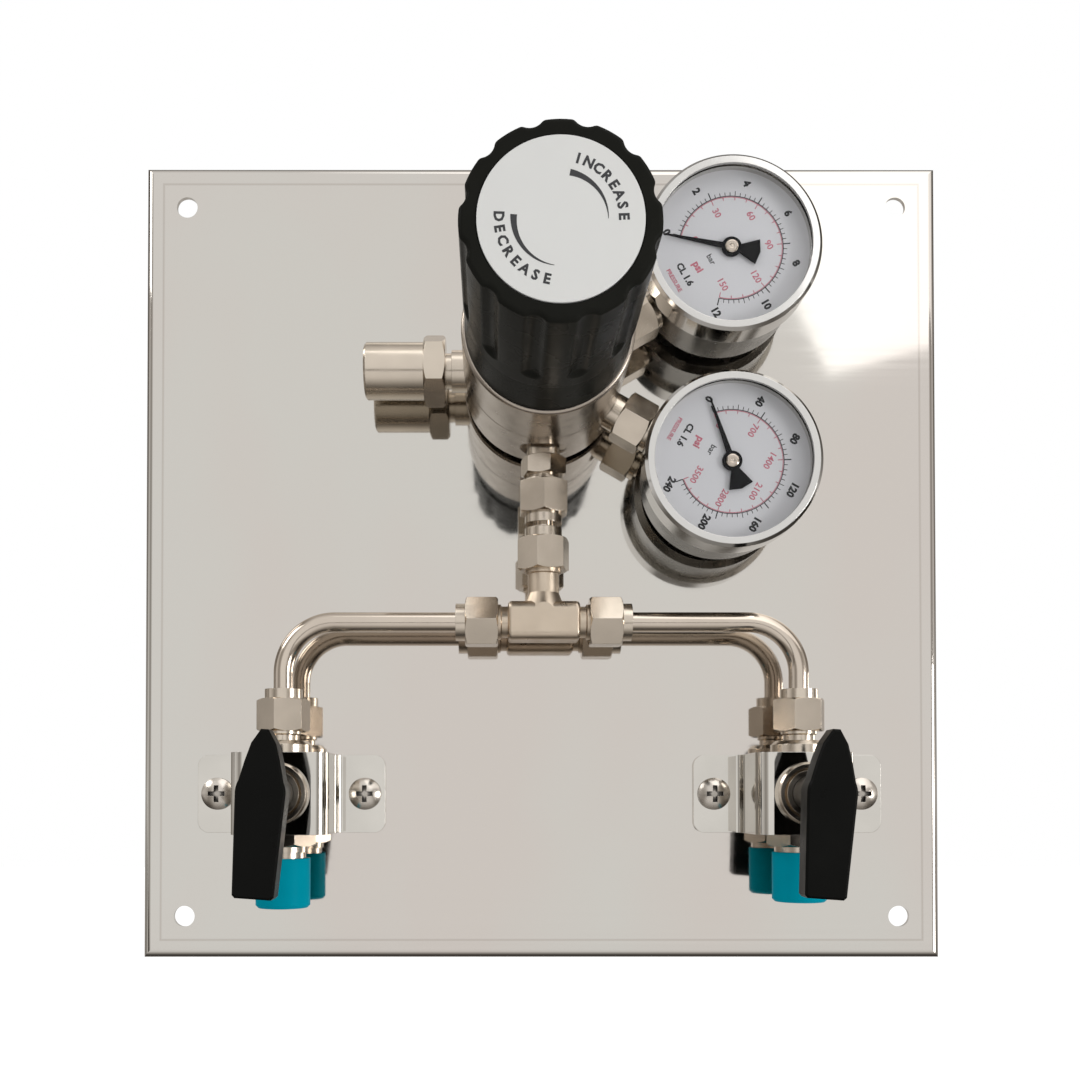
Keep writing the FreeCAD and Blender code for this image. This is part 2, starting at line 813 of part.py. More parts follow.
def make_outlet_connector():
    """Male connector from the regulator's lower port to the first tube."""
    outside = turned([
        (0, port_floor + slip_gap), (port_radius - thread_gap, port_floor + slip_gap),
        (port_radius - thread_gap, port_face), (connector_neck_radius, port_face),
        (connector_neck_radius, connector_hex_start), (0, connector_hex_start),
    ])
    bar = hexagon(connector_flats, connector_hex_start, connector_hex_end)
    bar.rotate(FreeCAD.Vector(0, 0, 0), FreeCAD.Vector(0, 0, 1), connector_turn_angle)
    body = joined(outside, bar, male_end(connector_hex_end, connector_nut_face))
    body = body.cut(male_bore(connector_nut_face, port_floor))
    return shape_at(body, spot(0, port_height, regulator_up), -UP)


def make_union_tee():
    """Forged tee: a body with rounded edges and three threaded arms."""
    body = block(tee_body_width, tee_body_height, -tee_body_depth / 2, tee_body_depth / 2)
    body = body.makeFillet(tee_edge, edges_along(body, RIGHT))
    ends = [edge for edge in body.Edges if edge.BoundBox.XLength < same_place]
    body = body.makeFillet(tee_end_edge, ends)
    tee = shape_at(body, FreeCAD.Vector(0, 0, 0))
    arms = {"tee_left": tee_body_width / 2, "tee_right": tee_body_width / 2,
            "tee_top": tee_body_height / 2}
    for name, body_end in arms.items():
        middle, way, face = fitting_places()[name]
        across = OUT if abs(way.z) < 0.5 else RIGHT
        tee = tee.fuse(shape_at(male_end(body_end - tee_edge, face), spot(), way, across))
    shoulder = turned([
        (0, 0), (tee_shoulder_radius, 0), (tee_shoulder_radius, tee_body_height / 2 - tee_edge),
        (fitting_neck_radius, tee_shoulder_top), (0, tee_shoulder_top),
    ]).common(block(tee_body_width, tee_body_depth, 0, tee_shoulder_top))
    tee = tee.fuse(shape_at(shoulder, spot(), UP, RIGHT))
    for name in arms:
        middle, way, face = fitting_places()[name]
        across = OUT if abs(way.z) < 0.5 else RIGHT
        tee = tee.cut(shape_at(male_bore(face, 0), spot(), way, across))
    tee = tee.removeSplitter()
    tee.translate(spot(0, port_height, tee_up))
    return tee


# Ball valves

def on_valve(shape, side):
    """Put a shape drawn about the stem axis on one of the valves."""
    return shape_at(shape, spot(valve_x[side], 0, valve_up))


def flow_piece(shape):
    """Turn a shape drawn along the flow line, at Z up, into the stem's frame."""
    return shape_at(shape, FreeCAD.Vector(0, 0, port_height), FreeCAD.Vector(0, 1, 0), RIGHT)


def make_valve_body(side):
    """Forged body with a tube fitting on top, the ball's well, and a neck for the stem."""
    body = block(valve_body_width, valve_body_length, valve_body_back, valve_body_front)
    body = body.makeChamfer(valve_body_edge, edges_along(body, OUT))
    boss = turned([(0, 0), (valve_boss_radius, 0), (valve_boss_radius, valve_boss_top - valve_boss_edge),
                   (valve_boss_radius - valve_boss_edge, valve_boss_top), (0, valve_boss_top)])
    neck = rod(valve_neck_radius, port_height, valve_neck_front)
    outside = joined(body, flow_piece(boss), flow_piece(male_end(0, valve_nut_face)), neck)
    well = turned([
        (0, -half_body), (end_thread_radius, -half_body), (end_thread_radius, end_thread_length - half_body),
        (ball_well_radius, end_thread_length - half_body), (ball_well_radius, ball_well_top),
        (0, ball_well_top),
    ])
    collar_top = stem_collar_back + stem_collar_thickness + seat_ring_gap
    pocket = rod(stem_collar_radius + seat_ring_gap, port_height, collar_top)
    stem_bore = rod(stem_radius + running_gap, port_height, valve_neck_front)
    body = outside.cut(flow_piece(well)).cut(flow_piece(male_bore(valve_nut_face, 0)))
    return on_valve(body.cut(pocket).cut(stem_bore).removeSplitter(), side)


def make_ball(side):
    """Ball with its bore along the flow and a slot for the stem."""
    ball = Part.makeSphere(ball_radius, FreeCAD.Vector(0, 0, port_height))
    ball = ball.cut(flow_piece(rod(ball_bore, -ball_radius, ball_radius)))
    slot_floor = port_height + ball_radius - ball_slot_depth
    slot = block(ball_slot_width, 2 * ball_radius, slot_floor, port_height + ball_radius)
    return on_valve(ball.cut(slot), side)


def make_stem(side):
    """Stem with a tongue in the ball's slot and a collar that keeps it from blowing out."""
    tongue_foot = port_height + ball_radius - ball_slot_depth
    tongue = block(ball_slot_width, stem_tongue_length, tongue_foot, stem_collar_back)
    collar = rod(stem_collar_radius, stem_collar_back, stem_collar_back + stem_collar_thickness)
    shaft = rod(stem_radius, stem_collar_back, stem_top)
    return on_valve(joined(shaft, collar, tongue), side)


def seat_ring(low, high):
    """Seat with a hollow face that follows the ball."""
    outer = ball_well_radius - thread_gap
    body = ring(outer, ball_bore, low, high)
    return body.cut(Part.makeSphere(ball_radius + seat_ring_gap))


def make_ball_seats():
    """Two seats in each valve."""
    foot = end_thread_length - half_body
    pair = [seat_ring(seat_ring_start, ball_well_top), seat_ring(foot, -seat_ring_start)]
    return group([on_valve(flow_piece(seat), side) for side in valve_x for seat in pair])


def end_positions():
    """Positions along the flow line, downwards: foot of the body, hexagon, collar and nipple."""
    hex_end = half_body + end_hex_length
    collar_end = hex_end + end_collar_length
    return hex_end, collar_end, collar_end + nipple_length


def make_outlet_end(side):
    """End piece screwed into the body: thread, hexagon, collar and the outlet nipple."""
    hex_end, collar_end, tip = end_positions()
    thread_start = half_body - end_thread_length
    outside = joined(
        rod(end_thread_radius - thread_gap, thread_start, half_body),
        hexagon(end_hex_flats, half_body, hex_end),
        rod(end_collar_radius, hex_end, collar_end),
        turned([(0, collar_end), (nipple_radius, collar_end), (nipple_radius, tip - nipple_edge),
                (nipple_radius - nipple_edge, tip), (0, tip)]))
    socket = rod(outlet_socket_radius, tip - outlet_socket_depth, tip)
    end = outside.cut(socket).cut(rod(ball_bore, thread_start, tip))
    return on_valve(shape_at(end, FreeCAD.Vector(0, 0, port_height), FreeCAD.Vector(0, -1, 0), RIGHT), side)


def make_dust_cap(side):
    """Push-on cap over the outlet nipple, closed at its foot."""
    top = end_positions()[1] + cap_lift[side]
    foot = top + cap_length
    bore = nipple_radius + thread_gap
    cap = turned([
        (bore, top), (cap_radius, top), (cap_radius, foot - cap_round),
        (cap_radius - cap_round, foot), (0, foot), (0, foot - cap_wall), (bore, foot - cap_wall),
    ])
    return on_valve(shape_at(cap, FreeCAD.Vector(0, 0, port_height), FreeCAD.Vector(0, -1, 0), RIGHT), side)


def make_panel_nut(side):
    """Ring nut that clamps the bracket to the valve's neck."""
    top = bracket_front + panel_nut_thickness
    bore = valve_neck_radius + thread_gap
    edge = panel_nut_edge
    nut = turned([
        (bore, bracket_front), (panel_nut_radius, bracket_front), (panel_nut_radius, top - edge),
        (panel_nut_radius - edge, top), (bore + edge, top), (bore, top - edge),
    ])
    return on_valve(nut, side)


def make_bracket(side):
    """Strap folded from one strip: two feet, two legs and a front that the valve's neck passes."""
    middle = bracket_sheet / 2
    leg = bracket_leg_out - middle
    front = bracket_front - middle
    half = [(-bracket_half_span, middle), (-leg, middle), (-leg, front)]
    corners = half + [(-x, height) for x, height in reversed(half)]
    points = [FreeCAD.Vector(x, 0, height) for x, height in corners]
    radii = [bracket_foot_bend + middle, bracket_top_bend + middle]
    edges = []
    start = points[0]
    for i, radius in zip(range(1, 5), [radii[0], radii[1], radii[1], radii[0]]):
        bend = bent_path([start, points[i], points[i + 1]], radius)
        edges += bend.Edges[:2]
        start = bend.Edges[1].Vertexes[-1].Point
    edges.append(Part.makeLine(start, points[-1]))
    section = polygon([(-bracket_half_span, y, height) for y, height in
                       ((-bracket_width / 2, 0), (bracket_width / 2, 0),
                        (bracket_width / 2, bracket_sheet), (-bracket_width / 2, bracket_sheet))])
    strap = Part.Wire(edges).makePipeShell([section.OuterWire], True, False)
    corners_standing = [edge for edge in edges_along(strap, FreeCAD.Vector(0, 0, 1))
                        if abs(edge.BoundBox.XMax) > bracket_half_span - same_place]
    strap = strap.makeFillet(bracket_corner, corners_standing)
    for x in (-bracket_hole_offset, bracket_hole_offset):
        strap = strap.cut(Part.makeCylinder(screw_hole, bracket_sheet, FreeCAD.Vector(x, 0, 0)))
    strap = strap.cut(rod(valve_neck_radius + thread_gap, valve_body_front, bracket_front))
    return on_valve(strap, side)


def make_handle(side):
    """Lever with a pointed tip over the inlet, a round hub and a tail that narrows downwards."""
    back = handle_front - handle_thickness
    bulge = FreeCAD.Vector(handle_hub_radius, 0, back)
    tail = -handle_tail
    right = [
        FreeCAD.Vector(handle_tip_half_width, handle_tip, back),
        FreeCAD.Vector(handle_shoulder_half_width, handle_shoulder_up, back),
        FreeCAD.Vector(handle_waist_half_width, handle_waist_up, back),
        bulge,
        FreeCAD.Vector(handle_tail_half_width, tail + handle_tail_round, back),
        FreeCAD.Vector(handle_tail_half_width - handle_tail_round, tail, back),
    ]
    left = [FreeCAD.Vector(-point.x, point.y, point.z) for point in reversed(right)]
    outline = Part.Face(Part.makePolygon(right + left + right[:1]))
    lever = outline.extrude(FreeCAD.Vector(0, 0, handle_thickness))
    rim = [edge for edge in lever.Edges if edge.BoundBox.ZMin > handle_front - same_place]
    lever = lever.makeChamfer(handle_edge, rim)
    foot = valve_neck_front + moving_gap
    hub = turned([(0, foot), (handle_hub_foot_radius, foot), (handle_hub_radius, back),
                  (handle_hub_radius, handle_front - handle_edge),
                  (handle_hub_radius - handle_edge, handle_front), (0, handle_front)])
    handle = joined(lever, hub).cut(rod(stem_radius, foot, stem_top))
    handle.rotate(FreeCAD.Vector(0, 0, 0), FreeCAD.Vector(0, 0, 1), -handle_lean_angle)
    return on_valve(handle, side)


# Gauges

def gauge_middle(name):
    """Middle of a gauge, on the panel's face."""
    return spot(0, 0, regulator_up) + radial(gauge_angle[name]) * gauge_distance


def on_gauge(shape, name):
    """Put a shape drawn about the pointer's axis on a gauge, with +X pointing away from the regulator."""
    return shape_at(shape, gauge_middle(name), OUT, radial(gauge_angle[name]))


def make_gauge_case(name):
    """Drawn cup with a hole in its side for the stem."""
    edge = gauge_case_round
    cup = turned([
        (0, gauge_case_back), (gauge_case_radius - edge, gauge_case_back),
        (gauge_case_radius, gauge_case_back + edge), (gauge_case_radius, gauge_case_front),
        (gauge_case_radius - gauge_case_wall, gauge_case_front),
        (gauge_case_radius - gauge_case_wall, gauge_case_back + edge),
        (gauge_case_radius - edge, gauge_case_back + gauge_case_wall),
        (0, gauge_case_back + gauge_case_wall),
    ])
    hole = Part.makeCylinder(gauge_shank_radius + slip_gap, gauge_case_radius,
                             FreeCAD.Vector(-gauge_case_radius / 2, 0, port_height),
                             FreeCAD.Vector(-1, 0, 0))
    return on_gauge(cup.cut(hole), name)


def make_bezel(name):
    """Ring pressed over the case, with a lip over the window."""
    grip = bezel_grip
    return on_gauge(turned([
        (grip, bezel_back), (bezel_radius, bezel_back), (bezel_radius, bezel_front - bezel_round),
        (bezel_radius - bezel_round, bezel_front), (bezel_sight_radius, bezel_front),
        (bezel_sight_radius, bezel_front - bezel_lip), (grip, bezel_front - bezel_lip),
        (grip, window_back), (bezel_sight_radius, window_back), (bezel_sight_radius, dial_front),
        (grip, dial_front),
    ]), name)


def make_window(name):
    """Clear disc under the bezel's lip."""
    return on_gauge(rod(gauge_case_radius, window_back, window_back + window_thickness), name)


def make_dial(name):
    """Dial plate on the rim of the case."""
    dial = rod(gauge_case_radius, gauge_case_front, dial_front)
    return on_gauge(dial.cut(rod(pointer_cap_radius, gauge_case_front, dial_front)), name)


def socket_reach():
    """Distance from the gauge's middle to the outer face of its socket, clear of the case inside."""
    inside = gauge_case_radius - gauge_case_wall - slip_gap
    return math.sqrt(inside**2 - (gauge_socket_width / 2)**2)


def make_gauge_stem(name):
    """Stem with its thread, neck and hexagon, and the socket that carries the pointer's bearing."""
    collar_end = gauge_distance - gauge_case_radius - slip_gap
    hex_end = collar_end - gauge_collar_length
    socket_outer = socket_reach()
    inside_start = gauge_distance - socket_outer
    outside = joined(
        turned([(0, port_floor + slip_gap), (port_radius - thread_gap, port_floor + slip_gap),
                (port_radius - thread_gap, port_face), (gauge_neck_radius, port_face),
                (gauge_neck_radius, gauge_neck_end), (0, gauge_neck_end)]),
        hexagon(gauge_hex_flats, gauge_neck_end, hex_end),
        rod(gauge_collar_radius, hex_end, collar_end),
        rod(gauge_shank_radius, collar_end, inside_start))
    outside = outside.cut(rod(passage_radius, port_floor, inside_start))
    stem = shape_at(outside, spot(0, port_height, regulator_up), radial(gauge_angle[name]), OUT)
    arm_front = gauge_case_front - pointer_shaft_length / 2
    socket = Part.makeBox(gauge_socket_length, gauge_socket_width, gauge_socket_depth,
                          FreeCAD.Vector(-socket_outer, -gauge_socket_width / 2,
                                         port_height - gauge_socket_depth / 2))
    arm_start = -socket_outer + gauge_arm_inset
    post_height = arm_front - port_height
    post = Part.makeBox(gauge_arm_width, gauge_arm_width, post_height,
                        FreeCAD.Vector(arm_start, -gauge_arm_width / 2, port_height))
    arm = Part.makeBox(-arm_start, gauge_arm_width, gauge_arm_thickness,
                       FreeCAD.Vector(arm_start, -gauge_arm_width / 2, arm_front - gauge_arm_thickness))
    pivot = rod(gauge_pivot_radius, arm_front - 2 * gauge_arm_thickness, arm_front)
    bearing = rod(pointer_shaft_radius + running_gap, arm_front - 2 * gauge_arm_thickness, arm_front)
    carrier = joined(socket, post, arm, pivot).cut(bearing)
    return stem.fuse(on_gauge(carrier, name)).removeSplitter()


def make_bourdon_tubes():
    """Flattened, closed tubes bent to a C, which uncurl as the pressure rises."""
    half = bourdon_width / 2
    beside_socket = (gauge_socket_width / 2 + slip_gap) / (bourdon_radius - bourdon_thickness / 2)
    start_angle = math.degrees(math.asin(beside_socket)) - 180
    tubes = []
    for name in gauge_angle:
        pair = []
        for inset in (0, bourdon_wall):
            inner = bourdon_radius - bourdon_thickness / 2 + inset
            outer = bourdon_radius + bourdon_thickness / 2 - inset
            low = port_height - half + inset
            high = port_height + half - inset
            pair.append(turned([(inner, low), (outer, low), (outer, high), (inner, high)],
                               bourdon_sweep_angle))
        tube = pair[0].cut(pair[1])
        tube.rotate(FreeCAD.Vector(0, 0, 0), FreeCAD.Vector(0, 0, 1), start_angle)
        tubes.append(on_gauge(tube, name))
    return group(tubes)


def make_pointer(name):
    """Pointer with its tail, hub and shaft, resting just below zero against its stop."""
    low = dial_front + pointer_lift
    high = low + pointer_thickness
    tail = math.radians(pointer_tail_angle / 2)
    root = pointer_root_half_width
    tip = pointer_tip_half_width
    blade = polygon([(0, root, low), (0, -root, low), (pointer_length, -tip, low),
                     (pointer_length, tip, low)]).extrude(FreeCAD.Vector(0, 0, pointer_thickness))
    corner_x = -pointer_tail * math.cos(tail)
    corner_y = pointer_tail * math.sin(tail)
    fan = polygon([(0, 0, low), (corner_x, corner_y, low), (-pointer_tail, 0, low),
                   (corner_x, -corner_y, low)]).extrude(FreeCAD.Vector(0, 0, pointer_thickness))
    hub = rod(pointer_hub_radius, low, high)
    cap = rod(pointer_cap_radius, low, high + pointer_thickness / 2)
    shaft = rod(pointer_shaft_radius, gauge_case_front - pointer_shaft_length, high)
    pointer = joined(blade, fan, hub, cap, shaft)
    zero = 180 - pointer_zero_angle + pointer_stop_angle
    pointer.rotate(FreeCAD.Vector(0, 0, 0), FreeCAD.Vector(0, 0, 1), zero)
    return on_gauge(pointer, name)


# All nodes

def make_nodes():
    """Name and shape of every piece."""
    nodes = {
        "back_plate": make_panel(),
        "bracket_screws": make_bracket_screws(),
        "bracket_nuts": make_bracket_nuts(),
        "regulator_screws": make_regulator_screws(),
        "regulator_body": make_regulator_body(),
        "bonnet": make_bonnet(),
        "diaphragm": make_diaphragm(),
        "diaphragm_plate": make_diaphragm_plate(),
        "range_spring": make_range_spring(),
        "spring_button": make_spring_button(),
        "adjusting_screw": make_adjusting_screw(),
        "valve_seat": make_valve_seat(),
        "poppet": make_poppet(),
        "poppet_spring": make_poppet_spring(),
        "adjusting_knob": make_knob(),
        "knob_disc": make_knob_disc(),
        "inlet_adapter": make_inlet_adapter(),
        "inlet_filter": make_inlet_filter(),
        "outlet_connector": make_outlet_connector(),
        "outlet_nut": at_fitting(tube_nut(), "outlet"),
        "outlet_tube": make_straight_tube(),
        "union_tee": make_union_tee(),
        "tee_top_nut": at_fitting(tube_nut(), "tee_top"),
        "tee_left_nut": at_fitting(tube_nut(), "tee_left"),
        "tee_right_nut": at_fitting(tube_nut(), "tee_right"),
        "tube_ferrules": make_ferrules(),
        "ball_seats": make_ball_seats(),
        "bourdon_tubes": make_bourdon_tubes(),
    }
    for side, x in valve_x.items():
        nodes[side + "_tube"] = make_tube([tube_end("tee_" + side), spot(x, port_height, tee_up),
                                           tube_end(side + "_valve")])
        nodes[side + "_inlet_nut"] = at_fitting(tube_nut(), side + "_valve")
        nodes[side + "_valve_body"] = make_valve_body(side)
        nodes[side + "_ball"] = make_ball(side)
        nodes[side + "_stem"] = make_stem(side)
        nodes[side + "_outlet_end"] = make_outlet_end(side)
        nodes[side + "_dust_cap"] = make_dust_cap(side)
        nodes[side + "_panel_nut"] = make_panel_nut(side)
        nodes[side + "_bracket"] = make_bracket(side)
        nodes[side + "_handle"] = make_handle(side)
    for name in gauge_angle:
        nodes[name + "_gauge_case"] = make_gauge_case(name)
        nodes[name + "_gauge_bezel"] = make_bezel(name)
        nodes[name + "_gauge_window"] = make_window(name)
        nodes[name + "_gauge_dial"] = make_dial(name)
        nodes[name + "_gauge_stem"] = make_gauge_stem(name)
        nodes[name + "_gauge_pointer"] = make_pointer(name)
    return nodes


os.makedirs("parts", exist_ok=True)
for name, shape in make_nodes().items():
    shape.exportStep("parts/" + name + ".step")
    print(name, len(shape.Solids), shape.isValid(), round(shape.Volume, 2))
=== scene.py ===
import json
import math

import bpy
from mathutils import Matrix, Vector


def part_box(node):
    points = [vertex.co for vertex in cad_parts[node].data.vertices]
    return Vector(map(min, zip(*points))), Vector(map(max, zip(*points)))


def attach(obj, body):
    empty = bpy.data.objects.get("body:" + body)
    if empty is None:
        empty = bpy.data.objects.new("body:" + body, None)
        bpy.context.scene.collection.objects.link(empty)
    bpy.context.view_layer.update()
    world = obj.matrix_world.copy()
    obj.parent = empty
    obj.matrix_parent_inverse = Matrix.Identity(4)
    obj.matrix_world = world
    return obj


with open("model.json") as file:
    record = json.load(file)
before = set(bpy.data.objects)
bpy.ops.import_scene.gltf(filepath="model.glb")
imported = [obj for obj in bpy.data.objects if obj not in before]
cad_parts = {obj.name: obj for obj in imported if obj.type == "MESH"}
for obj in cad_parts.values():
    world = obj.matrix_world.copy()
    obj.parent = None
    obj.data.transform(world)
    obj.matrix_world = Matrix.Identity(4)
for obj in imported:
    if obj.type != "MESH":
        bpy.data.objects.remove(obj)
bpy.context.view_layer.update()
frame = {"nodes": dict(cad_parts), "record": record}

MM = 0.001

# Where things are, read from the frame. The object faces -Y, and Z is up.
disc_low, disc_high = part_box("knob_disc")
disc_middle = (disc_low + disc_high) / 2
disc_radius = (disc_high.x - disc_low.x) / 2
disc_front = disc_low.y
panel_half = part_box("back_plate")[1].x

# Prints stand this far out of their surface, and start this far inside it
print_proud = 0.03 * MM
print_sunk = 0.01 * MM


# Materials

class Finish:
    """A material under construction: one Principled shader, with textures in the object's own coordinates."""

    def __init__(self, name, color, metallic, roughness):
        self.material = bpy.data.materials.new(name)
        self.material.use_nodes = True
        self.tree = self.material.node_tree
        self.shader = self.tree.nodes["Principled BSDF"]
        self.color = color
        self.put(self.shader, "Base Color", (*color, 1))
        self.put(self.shader, "Metallic", metallic)
        self.put(self.shader, "Roughness", roughness)
        self.place = self.add("ShaderNodeTexCoord").outputs["Object"]
        self.normal = None

    def add(self, kind, **settings):
        """A node with its settings."""
        node = self.tree.nodes.new(kind)
        for key, value in settings.items():
            setattr(node, key, value)
        return node

    def put(self, node, socket, value):
        """Sets a socket, or links it where the value is an output."""
        if isinstance(value, bpy.types.NodeSocket):
            self.tree.links.new(value, node.inputs[socket])
        else:
            node.inputs[socket].default_value = value

    def noise(self, scale, stretch=(1, 1, 1), detail=3.0):
        """Noise from 0 to 1, stretched along the axes."""
        mapping = self.add("ShaderNodeMapping")
        self.put(mapping, "Vector", self.place)
        self.put(mapping, "Scale", stretch)
        noise = self.add("ShaderNodeTexNoise")
        self.put(noise, "Vector", mapping.outputs["Vector"])
        self.put(noise, "Scale", scale)
        self.put(noise, "Detail", detail)
        return noise.outputs["Fac"]

    def ranged(self, value, low, high, start=0.3, end=0.7):
        """A value spread between two limits."""
        node = self.add("ShaderNodeMapRange")
        for socket, number in (("Value", value), ("From Min", start), ("From Max", end),
                               ("To Min", low), ("To Max", high)):
            self.put(node, socket, number)
        return node.outputs["Result"]

    def tone(self, value, color):
        """Moves the colour towards another one where the value is high."""
        mix = self.add("ShaderNodeMix", data_type="RGBA")
        linked = self.shader.inputs["Base Color"].links
        before = linked[0].from_socket if linked else (*self.color, 1)
        sockets = [socket for socket in mix.inputs if socket.type == "RGBA"]
        for socket, number in ((mix.inputs[0], value), (sockets[0], before), (sockets[1], (*color, 1))):
            if isinstance(number, bpy.types.NodeSocket):
                self.tree.links.new(number, socket)
            else:
                socket.default_value = number
        output = [socket for socket in mix.outputs if socket.type == "RGBA"][0]
        self.put(self.shader, "Base Color", output)

    def round_edges(self, radius):
        """Catches light on edges as if they were slightly rounded."""
        bevel = self.add("ShaderNodeBevel", samples=4)
        self.put(bevel, "Radius", radius)
        self.normal = bevel.outputs["Normal"]
        self.put(self.shader, "Normal", self.normal)

    def bump(self, value, depth):
        """Raises the surface by the value."""
        bump = self.add("ShaderNodeBump")
        self.put(bump, "Height", value)
        self.put(bump, "Distance", depth)
        if self.normal is not None:
            self.put(bump, "Normal", self.normal)
        self.normal = bump.outputs["Normal"]
        self.put(self.shader, "Normal", self.normal)


def scaled(color, factor):
    """A colour, lighter or darker."""
    return tuple(part * factor for part in color)


def metal(name, color, roughness, grain_scale, stretch, grain_depth, tone=0.9, edge=0.2 * MM, recess_shade=0.0):
    """Bright metal with fine tool marks, uneven polish and a slight change of tone.

    The last argument is the distance within which the faces of a recess darken each other: a painted shade,
    the colour going nearly black where ambient occlusion finds faces close by.
    """
    finish = Finish(name, color, 1.0, roughness)
    grain = finish.noise(grain_scale, stretch, 2.0)
    broad = finish.noise(55.0)
    smudge = finish.noise(160.0, detail=5.0)
    finish.tone(finish.ranged(broad, 0.0, 1.0), scaled(color, tone))
    finish.put(finish.shader, "Roughness", finish.ranged(smudge, roughness * 0.75, roughness * 1.3))
    if recess_shade:
        # Painted shade: nearly black where the faces of a recess or a contact lie within that distance
        occlusion = finish.add("ShaderNodeAmbientOcclusion", samples=8)
        finish.put(occlusion, "Distance", recess_shade)
        finish.tone(finish.ranged(occlusion.outputs["AO"], 1.0, 0.0, 0.45, 0.85), scaled(color, 0.05))
    finish.round_edges(edge)
    finish.bump(grain, grain_depth)
    return finish.material


def panel_metal():
    """Polished sheet: warm and cool patches, and the folding tool's faint line inside each edge."""
    color = (0.597, 0.573, 0.53)
    finish = Finish("polished_panel", color, 1.0, 0.05)
    patches = finish.noise(14.0, (1.0, 1.0, 0.6), 2.0)
    rolling = finish.noise(500.0, (0.02, 1.0, 1.0), 3.0)
    finish.tone(finish.ranged(patches, 0.0, 1.0, 0.42, 0.62), (0.60, 0.553, 0.51))
    split = finish.add("ShaderNodeSeparateXYZ")
    finish.put(split, "Vector", finish.place)
    spans = []
    for axis in ("X", "Z"):
        span = finish.add("ShaderNodeMath", operation="ABSOLUTE")
        finish.put(span, 0, split.outputs[axis])
        spans.append(span.outputs[0])
    widest = finish.add("ShaderNodeMath", operation="MAXIMUM")
    finish.put(widest, 0, spans[0])
    finish.put(widest, 1, spans[1])
    line_inset = 5.6 * MM
    off = finish.add("ShaderNodeMath", operation="SUBTRACT")
    finish.put(off, 0, widest.outputs[0])
    finish.put(off, 1, panel_half - line_inset)
    away = finish.add("ShaderNodeMath", operation="ABSOLUTE")
    finish.put(away, 0, off.outputs[0])
    line = finish.ranged(away.outputs[0], 0.55, 0.0, 0.1 * MM, 0.5 * MM)
    finish.tone(line, (0.42, 0.38, 0.34))
    finish.put(finish.shader, "Roughness", finish.ranged(rolling, 0.04, 0.075))
    finish.bump(rolling, 0.0006 * MM)
    return finish.material


def plastic(name, color, roughness, depth, index=1.5, tone=1.5):
    """Moulded plastic with a fine skin and an uneven gloss, stronger with a higher refractive index."""
    finish = Finish(name, color, 0.0, roughness)
    finish.put(finish.shader, "IOR", index)
    skin = finish.noise(2500.0, detail=4.0)
    wear = finish.noise(90.0, detail=4.0)
    finish.tone(finish.ranged(wear, 0.0, 0.6), scaled(color, tone))
    finish.put(finish.shader, "Roughness", finish.ranged(wear, roughness * 0.8, roughness * 1.3))
    finish.round_edges(0.3 * MM)
    finish.bump(skin, depth)
    return finish.material


def glass():
    """Clear window that lets light through to the dial."""
    finish = Finish("gauge_window", (0.02, 0.02, 0.02), 0.0, 0.03)
    smear = finish.noise(60.0, detail=4.0)
    finish.put(finish.shader, "Roughness", finish.ranged(smear, 0.015, 0.06))
    finish.put(finish.shader, "Alpha", 0.06)
    return finish.material


def printed(name, color):
    """Printing ink, a little thinner in places."""
    finish = Finish(name, color, 0.0, 0.5)
    thin = finish.noise(900.0, detail=3.0)
    finish.tone(finish.ranged(thin, 0.0, 0.5), scaled(color, 1.8))
    finish.bump(thin, 0.005 * MM)
    return finish.material


